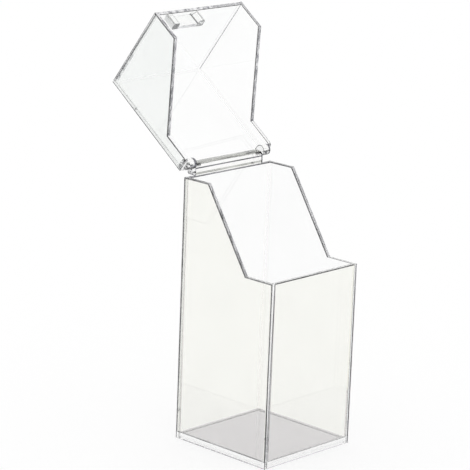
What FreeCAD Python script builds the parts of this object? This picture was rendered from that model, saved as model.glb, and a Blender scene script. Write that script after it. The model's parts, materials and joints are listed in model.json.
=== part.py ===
import FreeCAD, Part
import math
import os
from FreeCAD import Vector

# Clear acrylic brush holder with a flip lid, built from glued sheet panels.
# Millimetres, +Z up.  The origin is the centre of the underside.  The front
# faces -Y, the hinge runs along X behind the top of the rear wall, and the lid
# is modelled open, resting on its stop.

# ---- driving dimensions -------------------------------------------------
width = 90.0              # outside, along X
depth = 90.0              # outside, along Y
wall = 3.0                # thickness of every sheet
front_height = 137.0      # top of the front wall
rear_height = 197.0       # top of the rear wall
front_rim = 26.0          # level part of a side wall at the front
rear_rim = 24.5           # level part of a side wall at the rear
floor_thickness = 4.0
floor_rise = 1.2          # the floor stands clear of the table by this much
edge_break = 0.3          # bevel on the polished edges

lid_rise = 11.2           # outside of the closed lid above the rear wall
lid_gap = 0.2             # between the closed lid and the rim it rests on
lid_open_angle = 143.5
lid_corner_radius = 3.0   # rear bottom corner of the lid's side panels

hinge_setback = 1.2       # hinge axis behind the rear face
hinge_height = 6.6        # hinge axis above the rear wall
bar_height = 8.7
bar_front_reach = 3.0     # hinge axis to the bar's front face
bar_rear_reach = 5.35     # hinge axis to the bar's rear face
bar_front_radius = 3.8    # round front of the bar's top
bar_foot_radius = 0.8
stop_gap = 0.05           # open lid's edge to the bar's rear face
swing_gap = 0.1           # bar's rear shoulder to the path of that edge

pin_radius = 1.2
pin_length = 12.0
pin_clearance = 0.05      # pin in the bar, per side
pin_seat_clearance = 0.02 # pin in the ear, per side
pin_skin = 1.0            # acrylic left behind the pin in the ear
pin_bore_spare = 0.3      # bore deeper than the pin

ear_thickness = 6.9
ear_gap = 0.3             # between an ear and the end of the bar
ear_radius = 4.1          # round foot of the ear
ear_foot_gap = 0.85       # ear above the rear wall when the lid is closed

pull_length = 32.0
pull_depth = 10.5
pull_height = 6.0
pull_post = 6.2           # width of each post
pull_web = 3.0            # thickness of the web between the posts
pull_offset = 13.5        # above the lid's front edge
pull_shift = 2.0          # left of the lid's middle
pull_corner_radius = 1.8
pull_inner_radius = 0.8

# ---- derived places -----------------------------------------------------
half_width = width / 2
half_depth = depth / 2
inner_half = half_width - wall
lid_top = rear_height + lid_rise
lid_ceiling = lid_top - wall
axis_y = half_depth + hinge_setback
axis_z = rear_height + hinge_height
open_angle = math.radians(lid_open_angle)
ear_inner = inner_half - ear_thickness
bar_half = ear_inner - ear_gap
bar_front = axis_y - bar_front_reach
bar_rear = axis_y + bar_rear_reach
bar_top = rear_height + bar_height
pin_outer = inner_half - pin_skin
pin_inner = pin_outer - pin_length

# The lid opens until the inner rear edge of its top panel meets the rear face
# of the hinge bar, so that edge's place follows from the opening angle.
ceiling_lift = lid_ceiling - axis_z
edge_swing = bar_rear_reach + stop_gap - ceiling_lift * math.sin(open_angle)
top_panel_rear = axis_y + edge_swing / math.cos(open_angle)


def rounded_wire(corners, place):
    """Closed wire through (u, v, radius) corners, each rounded by its radius.
    place(u, v) gives the corner's position in space."""
    count = len(corners)
    points = [place(u, v) for u, v, radius in corners]
    spans = []
    for i in range(count):
        here = points[i]
        radius = corners[i][2]
        if radius <= 0:
            spans.append((here, None, here))
            continue
        back = (points[i - 1] - here).normalize()
        ahead = (points[(i + 1) % count] - here).normalize()
        half_turn = back.getAngle(ahead) / 2
        reach = radius / math.tan(half_turn)
        inward = (back + ahead).normalize()
        middle = here + inward * (radius / math.sin(half_turn) - radius)
        spans.append((here + back * reach, middle, here + ahead * reach))
    edges = []
    for i in range(count):
        start, middle, end = spans[i]
        follow = spans[(i + 1) % count][0]
        if middle is not None:
            edges.append(Part.Arc(start, middle, end).toShape())
        edges.append(Part.makeLine(end, follow))
    return Part.Wire(edges)


def side_profile(corners, x_start, x_end):
    """Solid between two X planes from a profile of (y, z, radius) corners."""
    wire = rounded_wire(corners, lambda y, z: Vector(x_start, y, z))
    return Part.Face(wire).extrude(Vector(x_end - x_start, 0, 0))


def plain(points):
    """Sharp corners from (u, v) points."""
    return [(u, v, 0) for u, v in points]


def block(x, y, z):
    """Box from its (low, high) spans."""
    corner = Vector(x[0], y[0], z[0])
    return Part.makeBox(x[1] - x[0], y[1] - y[0], z[1] - z[0], corner)


def break_edges(solid, chosen):
    """Bevel the edges that chosen(edge) picks."""
    return solid.makeChamfer(edge_break, [e for e in solid.Edges if chosen(e)])


def in_plane(axis, value):
    """Test for an edge that lies in the plane axis = value."""
    def test(edge):
        low = getattr(edge.BoundBox, axis + "Min")
        high = getattr(edge.BoundBox, axis + "Max")
        return abs(low - value) < 1e-6 and abs(high - value) < 1e-6
    return test


def along_x_at(z):
    """Test for an edge that runs along X at height z."""
    at_height = in_plane("Z", z)
    return lambda edge: at_height(edge) and edge.BoundBox.XLength > wall


def mirrored(solid):
    """The same piece on the other side of the object."""
    return solid.mirror(Vector(0, 0, 0), Vector(1, 0, 0))


def opened(solid):
    """A closed-lid piece swung open about the hinge."""
    turned = solid.copy()
    turned.rotate(Vector(0, axis_y, axis_z), Vector(1, 0, 0), -lid_open_angle)
    return turned


# ---- holder -------------------------------------------------------------
def side_wall():
    """Left side wall: full depth, high at the rear, sloping to the front."""
    outline = plain([(-half_depth, 0), (half_depth, 0), (half_depth, rear_height),
                     (half_depth - rear_rim, rear_height),
                     (front_rim - half_depth, front_height),
                     (-half_depth, front_height)])
    solid = side_profile(outline, -half_width, -inner_half)
    outer = in_plane("X", -half_width)
    inner = in_plane("X", -inner_half)
    return break_edges(solid, lambda edge: outer(edge) or inner(edge))


def cross_wall(y_span, height):
    """Wall that stands between the side walls, bevelled along its top."""
    solid = block((-inner_half, inner_half), y_span, (0, height))
    return break_edges(solid, along_x_at(height))


def front_wall():
    return cross_wall((-half_depth, wall - half_depth), front_height)


def rear_wall():
    return cross_wall((half_depth - wall, half_depth), rear_height)


def floor_plate():
    """Floor glued between the four walls, a little above their feet."""
    span_y = (wall - half_depth, half_depth - wall)
    span_z = (floor_rise, floor_rise + floor_thickness)
    return block((-inner_half, inner_half), span_y, span_z)


def pin_hole(clearance, x_start, x_end):
    """Cylinder about the hinge axis between two X planes."""
    start = Vector(x_start, axis_y, axis_z)
    return Part.makeCylinder(pin_radius + clearance, x_end - x_start, start, Vector(1, 0, 0))


def hinge_bar():
    """Bar on the rear wall's top edge, with a large round to the front.  Its
    rear face is the lid's stop, and the shoulder above that face is turned
    about the hinge, clear of the top panel's path."""
    path = math.hypot(top_panel_rear - axis_y, ceiling_lift) - swing_gap
    shoulder_z = axis_z + math.sqrt(path ** 2 - bar_rear_reach ** 2)
    shoulder_y = axis_y + math.sqrt(path ** 2 - (bar_top - axis_z) ** 2)
    turn = (math.atan2(shoulder_z - axis_z, bar_rear_reach)
            + math.atan2(bar_top - axis_z, shoulder_y - axis_y)) / 2
    shoulder_middle = (axis_y + path * math.cos(turn), axis_z + path * math.sin(turn))
    crown = (bar_front + bar_front_radius, bar_top - bar_front_radius)
    slant = bar_front_radius / math.sqrt(2)
    outline = [(bar_rear, shoulder_z), (bar_rear, rear_height + bar_foot_radius),
               (bar_rear - bar_foot_radius, rear_height), (bar_front, rear_height),
               (bar_front, crown[1]), (crown[0], bar_top), (shoulder_y, bar_top)]
    points = [Vector(-bar_half, y, z) for y, z in outline]
    crown_middle = Vector(-bar_half, crown[0] - slant, crown[1] + slant)
    edges = [Part.makeLine(points[i], points[i + 1]) for i in (0, 1, 2, 3, 5)]
    edges.insert(4, Part.Arc(points[4], crown_middle, points[5]).toShape())
    edges.append(Part.Arc(points[6], Vector(-bar_half, *shoulder_middle), points[0]).toShape())
    solid = Part.Face(Part.Wire(edges)).extrude(Vector(2 * bar_half, 0, 0))
    bore_depth = pin_inner - pin_bore_spare
    solid = solid.cut(pin_hole(pin_clearance, -bar_half, -bore_depth))
    return solid.cut(pin_hole(pin_clearance, bore_depth, bar_half))


# ---- lid, in its closed place ------------------------------------------
def lid_side_panel():
    """Left side of the lid, matching the holder's slope."""
    rear_edge = rear_height + lid_gap
    front_edge = front_height + lid_gap
    outline = [(-half_depth, front_edge, 0), (front_rim - half_depth, front_edge, 0),
               (half_depth - rear_rim, rear_edge, 0),
               (half_depth, rear_edge, lid_corner_radius),
               (half_depth, lid_top, 0), (-half_depth, lid_top, 0)]
    solid = side_profile(outline, -half_width, -inner_half)
    outer = in_plane("X", -half_width)
    inner = in_plane("X", -inner_half)
    return break_edges(solid, lambda edge: outer(edge) or inner(edge))


def lid_top_panel():
    """Top sheet, short of the rear by what the hinge bar needs."""
    span_y = (-half_depth, top_panel_rear)
    return block((-inner_half, inner_half), span_y, (lid_ceiling, lid_top))


def lid_front_panel():
    """Front sheet, under the top panel."""
    front_edge = front_height + lid_gap
    solid = block((-inner_half, inner_half), (-half_depth, wall - half_depth),
                  (front_edge, lid_ceiling))
    return break_edges(solid, along_x_at(front_edge))


def hinge_ear():
    """Left ear: a block inside the side panel, level with the lid's top and
    rear, with a round foot, bored for the pin."""
    at = -inner_half
    centre_y = top_panel_rear + ear_radius
    centre_z = rear_height + ear_foot_gap + ear_radius
    # the rear flank runs from the lid's top rear edge, tangent to the foot
    rise = lid_top - centre_z
    run = half_depth - centre_y
    reach = math.hypot(rise, run)
    tangent = math.atan2(rise, run) - math.acos(ear_radius / reach)
    flank_end = Vector(at, centre_y + ear_radius * math.cos(tangent),
                       centre_z + ear_radius * math.sin(tangent))
    foot = Vector(at, centre_y, centre_z - ear_radius)
    front = Vector(at, top_panel_rear, centre_z)
    corners = [front, Vector(at, top_panel_rear, lid_top),
               Vector(at, half_depth, lid_top), flank_end]
    edges = [Part.makeLine(a, b) for a, b in zip(corners, corners[1:])]
    edges.append(Part.Arc(flank_end, foot, front).toShape())
    solid = Part.Face(Part.Wire(edges)).extrude(Vector(ear_thickness, 0, 0))
    return solid.cut(pin_hole(pin_seat_clearance, -pin_outer, -ear_inner))


def hinge_pin():
    """Left steel pin, fixed in the ear and turning in the bar."""
    solid = pin_hole(0, -pin_outer, -pin_inner)
    outer = in_plane("X", -pin_outer)
    inner = in_plane("X", -pin_inner)
    return break_edges(solid, lambda edge: outer(edge) or inner(edge))


def lid_pull():
    """Finger pull on the lid's front: two posts joined by a web."""
    low = front_height + pull_offset
    high = low + pull_height
    step = high - pull_web
    end = pull_length / 2
    post = end - pull_post
    outline = [(-end, low, pull_corner_radius), (-post, low, pull_corner_radius),
               (-post, step, pull_inner_radius), (post, step, pull_inner_radius),
               (post, low, pull_corner_radius), (end, low, pull_corner_radius),
               (end, high, pull_corner_radius), (-end, high, pull_corner_radius)]
    wire = rounded_wire(outline, lambda x, z: Vector(x, -half_depth, z))
    solid = Part.Face(wire).extrude(Vector(0, -pull_depth, 0))
    solid.translate(Vector(-pull_shift, 0, 0))
    return break_edges(solid, in_plane("Y", -half_depth - pull_depth))


# ---- output -------------------------------------------------------------
left_side_wall = side_wall()
left_panel = opened(lid_side_panel())
left_ear = opened(hinge_ear())
left_pin = opened(hinge_pin())

pieces = {
    "floor_plate": floor_plate(),
    "left_side_wall": left_side_wall,
    "right_side_wall": mirrored(left_side_wall),
    "front_wall": front_wall(),
    "rear_wall": rear_wall(),
    "hinge_bar": hinge_bar(),
    "lid_left_panel": left_panel,
    "lid_right_panel": mirrored(left_panel),
    "lid_top_panel": opened(lid_top_panel()),
    "lid_front_panel": opened(lid_front_panel()),
    "lid_pull": opened(lid_pull()),
    "hinge_ear_left": left_ear,
    "hinge_ear_right": mirrored(left_ear),
    "hinge_pin_left": left_pin,
    "hinge_pin_right": mirrored(left_pin),
}

os.makedirs("parts", exist_ok=True)
for name, shape in pieces.items():
    solid = shape.Solids[0] if len(shape.Solids) == 1 else shape
    solid.exportStep("parts/" + name + ".step")
    print(name, "solids", len(shape.Solids), "valid", shape.isValid(),
          "volume", round(shape.Volume, 1))
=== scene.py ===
import json
import math
from collections import namedtuple

import bmesh
import bpy
import numpy as np
from mathutils import Matrix, Vector

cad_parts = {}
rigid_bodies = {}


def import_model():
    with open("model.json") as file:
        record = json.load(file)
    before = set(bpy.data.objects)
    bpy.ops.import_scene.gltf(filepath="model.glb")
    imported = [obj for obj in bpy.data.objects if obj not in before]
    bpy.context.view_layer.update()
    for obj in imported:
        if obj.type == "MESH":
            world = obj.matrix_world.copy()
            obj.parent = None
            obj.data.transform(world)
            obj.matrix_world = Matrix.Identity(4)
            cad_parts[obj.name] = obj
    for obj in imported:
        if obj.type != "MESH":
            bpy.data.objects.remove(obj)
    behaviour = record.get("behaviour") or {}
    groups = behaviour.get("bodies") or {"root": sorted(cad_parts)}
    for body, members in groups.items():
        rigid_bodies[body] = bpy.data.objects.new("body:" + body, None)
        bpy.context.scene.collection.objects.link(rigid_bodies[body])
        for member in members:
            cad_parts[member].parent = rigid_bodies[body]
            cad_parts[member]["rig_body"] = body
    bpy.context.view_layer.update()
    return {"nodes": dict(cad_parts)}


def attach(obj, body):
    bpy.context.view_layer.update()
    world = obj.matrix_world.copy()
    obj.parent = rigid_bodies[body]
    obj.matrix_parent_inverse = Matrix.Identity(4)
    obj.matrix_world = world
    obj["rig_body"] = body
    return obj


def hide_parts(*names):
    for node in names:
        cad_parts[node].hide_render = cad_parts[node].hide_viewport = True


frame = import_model()
nodes = frame["nodes"]
scene = bpy.context.scene
scene.view_settings.view_transform = "Standard"

# ---- camera, in metres and degrees --------------------------------------
AZIMUTH = -46.537
ELEVATION = 14.497
ROLL = 2.202
DISTANCE = 1.70752
FOCAL_PIXELS = 2399.4
FRAME_PIXELS = 470
SENSOR = 36.0
AIM_RIGHT = 0.02085
AIM_UP = -0.16722
FIT_ORIGIN = Vector((-0.045, -0.045, 0.0))

GLUE_LINE = 0.00002       # each glued face stands back by this much
OPEN_ANGLE = math.radians(143.5)
UNTURN = Matrix.Rotation(OPEN_ANGLE, 3, "X")   # open lid back to its closed direction

# tint of each sheet's polished faces: the acrylic's own faint tint, lowered on the left wall,
# front wall and lid's left panel as painted shade
SHEETS = {
    "left_side_wall": (0.955, 0.955, 0.915),
    "right_side_wall": (0.972, 0.974, 0.972),
    "front_wall": (0.955, 0.955, 0.915),
    "rear_wall": (0.974, 0.976, 0.974),
    # the floor plate's grey-lavender is painted shadow and reflection of brushes that are not in
    # the scene
    "floor_plate": (0.70, 0.68, 0.72),
    "lid_left_panel": (0.925, 0.938, 0.928),
    "lid_right_panel": (0.984, 0.986, 0.984),
    "lid_top_panel": (0.984, 0.986, 0.984),
    "lid_front_panel": (0.975, 0.982, 0.98),
}


def make_camera():
    """Camera at the viewing angle, turned a little about its own axis."""
    a = math.radians(AZIMUTH)
    e = math.radians(ELEVATION)
    r = math.radians(ROLL)
    back = Vector((math.sin(a) * math.cos(e), -math.cos(a) * math.cos(e), math.sin(e)))
    level = Vector((math.cos(a), math.sin(a), 0.0))
    upright = back.cross(level)
    right = level * math.cos(r) + upright * math.sin(r)
    up = upright * math.cos(r) - level * math.sin(r)
    data = bpy.data.cameras.new("camera")
    data.sensor_width = SENSOR
    data.lens = SENSOR * FOCAL_PIXELS / FRAME_PIXELS
    data.clip_start = 0.05
    data.clip_end = 50.0
    camera = bpy.data.objects.new("camera", data)
    turn = Matrix((right, up, back)).transposed().to_4x4()
    place = FIT_ORIGIN - right * AIM_RIGHT - up * AIM_UP + back * DISTANCE
    camera.matrix_world = Matrix.Translation(place) @ turn
    scene.collection.objects.link(camera)
    scene.camera = camera


def add(tree, kind, **values):
    """New node, with its named inputs set."""
    node = tree.nodes.new(kind)
    for name, value in values.items():
        node.inputs[name.replace("_", " ")].default_value = value
    return node


def either(tree, outputs):
    """1 where any of several 0-or-1 outputs is."""
    total = outputs[0]
    for output in outputs[1:]:
        node = add(tree, "ShaderNodeMath")
        node.operation = "MAXIMUM"
        tree.links.new(total, node.inputs[0])
        tree.links.new(output, node.inputs[1])
        total = node.outputs[0]
    return total


def mixed(tree, factor, first, second):
    """First shader at factor 0, second at factor 1."""
    node = add(tree, "ShaderNodeMixShader")
    tree.links.new(factor, node.inputs[0])
    tree.links.new(first, node.inputs[1])
    tree.links.new(second, node.inputs[2])
    return node.outputs[0]


def empty_tree(owner):
    owner.use_nodes = True
    owner.node_tree.nodes.clear()
    return owner.node_tree


def make_world():
    """White all round; glass and steel also see a darker studio ceiling."""
    world = bpy.data.worlds.new("studio")
    scene.world = world
    tree = empty_tree(world)
    out = add(tree, "ShaderNodeOutputWorld")
    white = add(tree, "ShaderNodeBackground", Color=(1, 1, 1, 1))
    room = add(tree, "ShaderNodeBackground")
    coord = add(tree, "ShaderNodeTexCoord")
    split = add(tree, "ShaderNodeSeparateXYZ")
    tree.links.new(coord.outputs["Generated"], split.inputs[0])
    ramp = add(tree, "ShaderNodeValToRGB")
    ramp.color_ramp.elements[0].position = 0.75
    ramp.color_ramp.elements[0].color = (1, 1, 1, 1)
    ramp.color_ramp.elements[1].position = 0.9
    ramp.color_ramp.elements[1].color = (0.15, 0.15, 0.15, 1)
    tree.links.new(split.outputs["Z"], ramp.inputs[0])
    tree.links.new(ramp.outputs[0], room.inputs["Color"])
    path = add(tree, "ShaderNodeLightPath")
    seen = either(tree, [path.outputs["Is Glossy Ray"], path.outputs["Is Transmission Ray"]])
    tree.links.new(mixed(tree, seen, white.outputs[0], room.outputs[0]), out.inputs[0])


def make_floor():
    """Pale floor under the holder."""
    mesh = bpy.data.meshes.new("floor")
    half = 3.0
    drop = -0.0002
    corners = [(-half, -half, drop), (half, -half, drop), (half, half, drop), (-half, half, drop)]
    mesh.from_pydata(corners, [], [(0, 1, 2, 3)])
    floor = bpy.data.objects.new("floor", mesh)
    scene.collection.objects.link(floor)
    material = bpy.data.materials.new("floor")
    tree = empty_tree(material)
    out = add(tree, "ShaderNodeOutputMaterial")
    pale = add(tree, "ShaderNodeBsdfDiffuse", Color=(1, 1, 1, 1))
    tree.links.new(pale.outputs[0], out.inputs[0])
    mesh.materials.append(material)


def streaks(tree, low, high, spread):
    """Noise stretched by spread: as a colour from low to high, and as a height."""
    coord = add(tree, "ShaderNodeTexCoord")
    stretch = add(tree, "ShaderNodeMapping", Scale=spread)
    tree.links.new(coord.outputs["Object"], stretch.inputs["Vector"])
    noise = add(tree, "ShaderNodeTexNoise", Scale=1.0, Detail=3.0)
    tree.links.new(stretch.outputs[0], noise.inputs["Vector"])
    ramp = add(tree, "ShaderNodeValToRGB")
    ramp.color_ramp.elements[0].position = 0.35
    ramp.color_ramp.elements[0].color = (*low, 1)
    ramp.color_ramp.elements[1].position = 0.65
    ramp.color_ramp.elements[1].color = (*high, 1)
    tree.links.new(noise.outputs["Fac"], ramp.inputs[0])
    return ramp.outputs["Color"], noise.outputs["Fac"]


def clear_acrylic(name, low, high, spread, roughness=0.0):
    """Clear acrylic whose tint varies from low to high, and which lets the
    floor be lit through it."""
    material = bpy.data.materials.new(name)
    tree = empty_tree(material)
    out = add(tree, "ShaderNodeOutputMaterial")
    shader = add(tree, "ShaderNodeBsdfPrincipled", IOR=1.49, Roughness=roughness,
                 Transmission_Weight=1.0)
    tree.links.new(streaks(tree, low, high, spread)[0], shader.inputs["Base Color"])
    path = add(tree, "ShaderNodeLightPath")
    through = add(tree, "ShaderNodeBsdfTransparent", Color=(0.97, 0.97, 0.97, 1))
    soft = either(tree, [path.outputs["Is Shadow Ray"], path.outputs["Is Diffuse Ray"]])
    tree.links.new(mixed(tree, soft, shader.outputs[0], through.outputs[0]), out.inputs[0])
    return material


def grey_acrylic(name, low, high, *more):
    """Clear acrylic with a tint between two plain greys."""
    return clear_acrylic(name, (low,) * 3, (high,) * 3, *more)


def around(tint, change=0.006):
    """A pair of tints a little either side of one."""
    return [tuple(min(1.0, c + d) for c in tint) for d in (-change, change)]


def brushed_steel():
    """Dark steel, brushed along the pins."""
    material = bpy.data.materials.new("pin_steel")
    tree = empty_tree(material)
    out = add(tree, "ShaderNodeOutputMaterial")
    shader = add(tree, "ShaderNodeBsdfPrincipled", Metallic=1.0, Roughness=0.3)
    colour, height = streaks(tree, (0.02, 0.02, 0.022), (0.25, 0.25, 0.26), (200, 2500, 2500))
    tree.links.new(colour, shader.inputs["Base Color"])
    relief = add(tree, "ShaderNodeBump", Strength=1.0, Distance=0.00003)
    tree.links.new(height, relief.inputs["Height"])
    tree.links.new(relief.outputs[0], shader.inputs["Normal"])
    tree.links.new(shader.outputs[0], out.inputs[0])
    return material


# ---- which finish or painted shade each face of a piece has --------------
# A face is judged by where it is and which way it faces when the lid is
# closed.  Lengths are in metres.
# faces in the RIM, GREY, LINE and DARK slots carry painted shade
FACE, RIM, EDGE, LINE, DARK, GREY, SATIN = range(7)     # places in a material list

HALF = 0.045              # half of the holder's width and depth
WALL = 0.003
IN_SIDE = HALF - WALL / 2            # beyond this x is a side sheet's outer half
IN_CROSS = HALF - 1.1 * WALL         # within this x is a cross sheet, not its end
HINGE = Vector((0.0, 0.0462, 0.2036))

FACING = 0.9              # part of a unit normal that faces an axis
POLISHED = 0.99           # a sheet's large faces, by their angle to its largest
SAWN = 0.1                # a sheet's narrow sides; its bevels are between
RIM_TILT = 0.2            # rims face up on the holder and down on the lid
SLOPE = (0.3, 0.9)        # rise of the holder's sloping rims
REAR_RIM = 0.02           # rims behind this y are level, at the rear
LID_FRONT_RIM = -0.02     # and before this one at the front, on the lid
LID_END = 0.0445          # the lid's front and rear faces start at this y
FLOOR_TOP = 0.0052        # sheets are clear below the floor's top
REAR_LINE = 0.044         # left wall's outer face is painted dark, as shade, behind this y
FRONT_LINE = 0.0432       # right wall's front side is painted dark, as shade, beyond this x
RIM_CHANGE = 0.012        # the lid's front rim is painted grey, as shade, beyond this x
MOTTLED = 0.176           # the lid's left front joint takes the dark-streaked rim finish, partly painted shade, above this z

LINE_WIDTH = 0.0005       # painted dark line of shade along the outline of a polished face
LINE_WIDTHS = {"lid_pull": 0.001, "lid_front_panel": 0.0008,
               "lid_left_panel": 0.0006, "left_side_wall": 0.0006}
INNER_SPAN = (0.138, 0.1971)         # inner faces are lined along rims in this z
INNER_END = 0.0449                   # and within this y
LID_TOP_EDGE = 0.2        # the lid's upper edges are above this z
LID_REAR_EDGE = 0.03      # and its rear edges behind this y
REAR_WALL_TOP = 0.19
HINGE_OUTER = 0.04        # outer ends of the ears are beyond this x

BAR_END = 0.0336          # the bar's front is painted dark, as shade, beyond this x
BAR_TOP = (50, 100)       # the bar's top, painted as shade, by its faces' rise in degrees
BAR_LINE = (1, 16)        # and the painted dark line of shade at the foot of its round
EAR_SHADE = (-0.0375, 0.0405)        # left and right ear carry painted shade beyond this x
EAR_TOP = 0.3             # but not where they face up more than this

PULL_MIDDLE = -0.002
PULL_POST = 0.0098        # middle to a post's inner side
PULL_OUTER = 0.0128       # and to beyond the post's middle
PULL_STEP = 0.1535        # underside of the web
PULL_STEP_SLACK = 0.001
PULL_CORNER = 0.0009      # reach of a corner's rounding
PULL_TIP = 0.3            # bevels at the tip face forward by more than this

Spot = namedtuple("Spot", "name place way along")


def on_lid(name):
    return nodes[name]["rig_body"] == "lid"


def spot(name, point, direction, along=0.0):
    """A face's place and direction, as they are when the lid is closed."""
    if on_lid(name):
        return Spot(name, UNTURN @ (point - HINGE) + HINGE, UNTURN @ direction, along)
    return Spot(name, point.copy(), direction.copy(), along)


def within(value, span):
    return span[0] < value < span[1]


def is_side(name):
    return name.endswith("side_wall") or name in ("lid_left_panel", "lid_right_panel")


def sheet_role(at):
    """Finish of a face of a sheet, or the painted shade it carries."""
    name, place, way, along = at
    lid = on_lid(name)
    # painted dark strips of shade at the left wall's rear and the right wall's front
    if name == "left_side_wall" and place.y > REAR_LINE and place.x < -IN_SIDE:
        return LINE
    if name == "right_side_wall" and way.y < -FACING and place.x > FRONT_LINE:
        return LINE
    if along > POLISHED:
        return FACE if place.z > FLOOR_TOP or name == "floor_plate" else EDGE
    if name == "floor_plate":
        return EDGE
    at_rim = way.z < -RIM_TILT if lid else way.z > RIM_TILT
    if name == "lid_top_panel":
        at_rim = way.y > FACING
    if name == "lid_front_panel" and way.x < -FACING and place.z > MOTTLED:
        return RIM
    if along < SAWN:
        # sloping and rear rims are painted grey as shade
        if not lid and (within(way.z, SLOPE) or at_rim and place.y > REAR_RIM):
            return GREY
        if lid and at_rim and place.x > RIM_CHANGE and place.y < LID_FRONT_RIM:
            return GREY
        return RIM if at_rim and (place.y < REAR_RIM or not lid) else EDGE
    # the rear wall's front-facing bevels are painted dark as shade
    if name == "rear_wall" and way.y < 0:
        return DARK
    outside = abs(place.x) > IN_SIDE or not is_side(name)
    if name == "lid_right_panel" and place.y < -LID_END:
        outside = False
    return LINE if at_rim or outside else EDGE


def bar_role(at):
    """Finish of a face of the hinge bar, or the painted shade it carries."""
    if abs(at.way.x) > FACING:
        return EDGE
    if at.place.x > BAR_END and at.way.y < -0.5:
        return DARK
    rise = math.degrees(math.atan2(at.way.z, -at.way.y))
    if within(rise, BAR_TOP):
        return RIM
    return DARK if within(rise, BAR_LINE) else FACE


def ear_role(at):
    """Finish of a face of a hinge ear: painted shade at the right of its round foot."""
    if abs(at.way.x) > FACING:
        return EDGE
    painted_shade = at.way.z < EAR_TOP and at.place.x > EAR_SHADE[at.place.x > 0]
    return DARK if painted_shade else FACE


def pull_role(at):
    """Finish of a face of the finger pull, or the painted shade it carries."""
    way = at.way
    from_middle = at.place.x - PULL_MIDDLE
    # root ends of the posts: painted dark lines and grey shade
    if way.y > FACING:
        if from_middle < -PULL_POST:
            return LINE
        return GREY if from_middle > PULL_POST else RIM
    if way.x < -FACING and from_middle < -PULL_OUTER:
        return SATIN
    if way.y < -PULL_TIP:
        return EDGE if way.y < -FACING or from_middle < 0 else LINE
    above_step = at.place.z - PULL_STEP
    # the posts' low and inner corners are painted dark as shade
    low_corner = above_step < -PULL_STEP_SLACK and way.x > 0.1 and way.z < -0.1
    inner_corner = (abs(abs(from_middle) - PULL_POST) < PULL_CORNER
                    and abs(above_step) < PULL_CORNER and 0.1 < abs(way.x) < 0.99)
    return DARK if low_corner or inner_corner else FACE


def lined_side(at):
    """Whether a polished face's outline gets a painted dark line of shade along its side at this
    spot.
    """
    name, place, way = at[:3]
    if name == "floor_plate":
        return place.y < 0 or place.x < 0
    if is_side(name):
        if abs(place.x) < IN_SIDE:
            return within(place.z, INNER_SPAN) and abs(place.y) < INNER_END
        upper_right = place.z > LID_TOP_EDGE and place.x > 0
        return not (on_lid(name) and (upper_right or abs(place.y) > LID_END))
    if name.startswith("hinge"):
        return abs(place.x) < HINGE_OUTER
    if name == "lid_pull":
        return True
    if name == "rear_wall":
        return abs(place.x) < IN_CROSS and (way.y > 0 or place.z > REAR_WALL_TOP)
    if name == "lid_top_panel":
        return way.z > 0.5 and place.y > LID_REAR_EDGE
    if name == "lid_front_panel":
        return way.y > 0 and place.x > IN_CROSS
    return way.y < -0.5 and place.x < IN_CROSS


# ---- visible pieces ------------------------------------------------------
ROLES = {"hinge_bar": bar_role, "hinge_ear_left": ear_role, "hinge_ear_right": ear_role,
         "lid_pull": pull_role}
LINED = {"hinge_bar": EDGE, "hinge_ear_left": EDGE, "hinge_ear_right": EDGE, "lid_pull": GREY}
X, Y, Z = Matrix.Identity(3)
LID_Z = UNTURN.transposed() @ Z      # closed lid's upward direction on the open lid

# planes, as point and normal, along which a piece's faces are cut in two
CUTS = {
    "hinge_bar": [(X * BAR_END, X)],
    "hinge_ear_left": [(X * EAR_SHADE[0], X)],
    "hinge_ear_right": [(X * EAR_SHADE[1], X)],
    "lid_pull": [(X * (PULL_MIDDLE - PULL_POST), X), (X * (PULL_MIDDLE + PULL_POST), X)],
    "front_wall": [(Z * FLOOR_TOP, Z)],
    "left_side_wall": [(Z * FLOOR_TOP, Z), (Y * REAR_LINE, Y)],
    "right_side_wall": [(X * FRONT_LINE, X)],
    "lid_front_panel": [(UNTURN.transposed() @ (Z * MOTTLED - HINGE) + HINGE, LID_Z),
                        (X * RIM_CHANGE, X)],
}


def stand_back(mesh):
    """Move every face inwards by the glue line's thickness."""
    for vert in mesh.verts:
        normals = np.array([face.normal for face in vert.link_faces])
        step = np.linalg.lstsq(normals, np.full(len(normals), -GLUE_LINE), rcond=1e-3)[0]
        vert.co += Vector(step)


def line_outline(name, mesh):
    """Painted shade: a dark line along the chosen sides of the polished faces."""
    lined = LINED.get(name, FACE)
    region = [face for face in mesh.faces if face.material_index == lined]
    ring = bmesh.ops.inset_region(mesh, faces=region,
                                  thickness=LINE_WIDTHS.get(name, LINE_WIDTH),
                                  use_boundary=True, use_even_offset=True)["faces"]
    chosen = []
    for face in ring:
        outer = [edge for edge in face.edges
                 if any(other.material_index != lined for other in edge.link_faces)]
        edge = outer[0] if outer else face.edges[0]
        middle = (edge.verts[0].co + edge.verts[1].co) / 2
        if lined_side(spot(name, middle, face.normal)):
            chosen.append(face)
    for face in chosen:
        # the bar's right end takes the darker painted shade
        right_end = name == "hinge_bar" and face.normal.x > 0.5
        face.material_index = DARK if right_end else LINE


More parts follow.
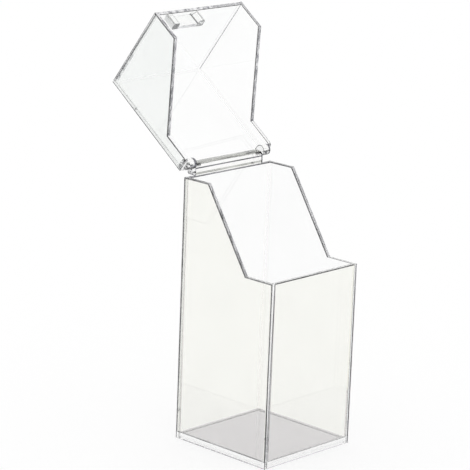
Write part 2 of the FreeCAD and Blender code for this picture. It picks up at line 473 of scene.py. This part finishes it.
def dressed(name, materials):
    """The visible piece for an acrylic node, each face with its finish or painted shade."""
    role = ROLES.get(name, sheet_role)
    mesh = bmesh.new()
    mesh.from_mesh(nodes[name].data)
    bmesh.ops.remove_doubles(mesh, verts=mesh.verts, dist=1e-6)
    for point, normal in CUTS.get(name, []):
        bmesh.ops.bisect_plane(mesh, geom=mesh.verts[:] + mesh.edges[:] + mesh.faces[:],
                               plane_co=point, plane_no=normal)
    mesh.normal_update()
    stand_back(mesh)
    mesh.normal_update()
    largest = max(mesh.faces, key=lambda face: face.calc_area()).normal.copy()
    for face in mesh.faces:
        face.smooth = True
        along = abs(face.normal.dot(largest))
        face.material_index = role(spot(name, face.calc_center_median(), face.normal, along))
    line_outline(name, mesh)
    mesh.normal_update()
    for edge in mesh.edges:
        edge.smooth = edge.calc_face_angle(0) < math.radians(20)
    data = bpy.data.meshes.new(name + "_clear")
    mesh.to_mesh(data)
    mesh.free()
    for material in materials:
        data.materials.append(material)
    piece = bpy.data.objects.new(name + "_clear", data)
    scene.collection.objects.link(piece)
    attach(piece, nodes[name]["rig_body"])
    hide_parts(name)


make_camera()
make_world()
make_floor()
# rim streaks stand for saw marks; how dark each rim copy is (dark on the lid, grey on slopes and
# rear, pale on the holder) is painted shade
rim = clear_acrylic("acrylic_rim", (0.08, 0.08, 0.1), (0.95, 0.95, 0.97), (300, 200, 200), 0.1)
grey_rim = clear_acrylic("acrylic_grey_rim", (0.15, 0.15, 0.16), (0.5, 0.5, 0.52),
                         (500, 90, 90), 0.15)
pale_rim = clear_acrylic("acrylic_pale_rim", (0.65, 0.65, 0.66), (0.95, 0.95, 0.95),
                         (500, 90, 90), 0.1)
edge = grey_acrylic("acrylic_edge", 0.97, 0.99, (90, 90, 90))
# acrylic_line and acrylic_dark are near-black painted shade on lines, bevels and corners
line = clear_acrylic("acrylic_line", (0.005, 0.005, 0.006), (0.08, 0.08, 0.085), (60, 60, 60))
dark = clear_acrylic("acrylic_dark", (0.01, 0.01, 0.015), (0.1, 0.1, 0.12), (60, 60, 60))
for name, tint in SHEETS.items():
    face = clear_acrylic("polished_" + name, *around(tint), (25, 25, 25))
    dressed(name, [face, rim if on_lid(name) else pale_rim, edge, line, dark, grey_rim])

block = clear_acrylic("polished_block", *around((0.975, 0.975, 0.965)), (60, 60, 60))
# bar_top and bar_line are painted shade on the bar's top and at the foot of its round
bar_top = clear_acrylic("bar_top", (0.05, 0.052, 0.045), (0.4, 0.41, 0.37), (60, 500, 500), 0.1)
bar_line = clear_acrylic("bar_line", (0.005, 0.005, 0.008), (0.04, 0.04, 0.05),
                         (60, 60, 60), 0.1)
dressed("hinge_bar", [block, bar_top, edge, dark, bar_line])
for name in ("hinge_ear_left", "hinge_ear_right"):
    dressed(name, [block, rim, edge, line, dark])

# pull_root's grey and pull_line's black are painted shade at the posts' roots, corners and lines
root = grey_acrylic("pull_root", 0.3, 0.9, (450, 450, 450), 0.03)
satin = grey_acrylic("pull_side", 0.85, 0.99, (450, 450, 450), 0.5)
black = clear_acrylic("pull_line", (0.0, 0.0, 0.0), (0.01, 0.01, 0.012), (60, 60, 60))
dressed("lid_pull", [block, rim, edge, black, black, root, satin])

metal = brushed_steel()
for name in ("hinge_pin_left", "hinge_pin_right"):
    nodes[name].data.materials.clear()
    nodes[name].data.materials.append(metal)

scene.cycles.max_bounces = 48
scene.cycles.glossy_bounces = 48
scene.cycles.transmission_bounces = 48
scene.cycles.transparent_max_bounces = 48
